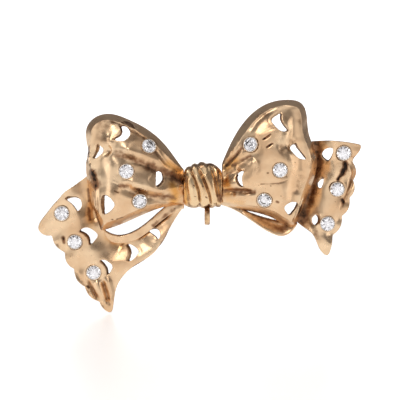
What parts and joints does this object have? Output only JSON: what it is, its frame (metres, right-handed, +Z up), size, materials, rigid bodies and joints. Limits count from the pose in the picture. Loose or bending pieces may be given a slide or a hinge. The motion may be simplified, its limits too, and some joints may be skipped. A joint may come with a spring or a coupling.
{
  "type": "bow brooch",
  "caption": "Ribbon-bow brooch of pierced, puffed gold sheet set with round stones in tube collets, with a wound knot, a pendant eyelet, a hinged pin stem and a turning safety catch.",
  "frame": {"origin": "on the axis of the pin stem, straight behind the knot", "axes": "+X along the bow and the pin stem, towards the catch; +Y out of the back, towards the wearer; +Z up as worn, so the brooch faces -Y"},
  "size_m": [0.0599, 0.0127, 0.0395],
  "materials": {
    "ribbon_gold": "polished rose gold sheet, lightly hammered and worn",
    "knot_gold": "polished rose gold, darker in the grooves",
    "fittings_gold": "satin rose gold",
    "diamond": "clear, faceted"
  },
  "bodies": {
    "brooch": {"left_loop": "ribbon_gold", "right_loop": "ribbon_gold", "left_loop_band": "ribbon_gold", "right_loop_band": "ribbon_gold", "left_tail": "ribbon_gold", "right_tail": "ribbon_gold", "knot": "knot_gold", "left_loop_collet_upper": "fittings_gold", "left_loop_collet_middle": "fittings_gold", "left_loop_collet_lower": "fittings_gold", "right_loop_collet_upper": "fittings_gold", "right_loop_collet_middle": "fittings_gold", "right_loop_collet_lower": "fittings_gold", "left_tail_collet_upper": "fittings_gold", "left_tail_collet_middle": "fittings_gold", "left_tail_collet_lower": "fittings_gold", "right_tail_collet_upper": "fittings_gold", "right_tail_collet_middle": "fittings_gold", "right_tail_collet_lower": "fittings_gold", "left_loop_diamond_upper": "diamond", "left_loop_diamond_middle": "diamond", "left_loop_diamond_lower": "diamond", "right_loop_diamond_upper": "diamond", "right_loop_diamond_middle": "diamond", "right_loop_diamond_lower": "diamond", "left_tail_diamond_upper": "diamond", "left_tail_diamond_middle": "diamond", "left_tail_diamond_lower": "diamond", "right_tail_diamond_upper": "diamond", "right_tail_diamond_middle": "diamond", "right_tail_diamond_lower": "diamond", "pendant_eyelet": "fittings_gold", "back_bar": "fittings_gold", "pin_joint": "fittings_gold", "hinge_rivet": "fittings_gold", "catch_housing": "fittings_gold"},
    "pin_stem": {"pin_stem": "fittings_gold"},
    "catch_sleeve": {"catch_sleeve": "fittings_gold"}
  },
  "joints": [
    {"name": "pin_hinge", "type": "hinge", "parent": "brooch", "child": "pin_stem", "pos_m": [-0.0148, 0, 0], "axis": [0, 0, 1], "range_deg": [0, 95]},
    {"name": "catch_turn", "type": "hinge", "parent": "brooch", "child": "catch_sleeve", "pos_m": [0.0148, 0, 0], "axis": [1, 0, 0], "range_deg": [-120, 0]}
  ]
}
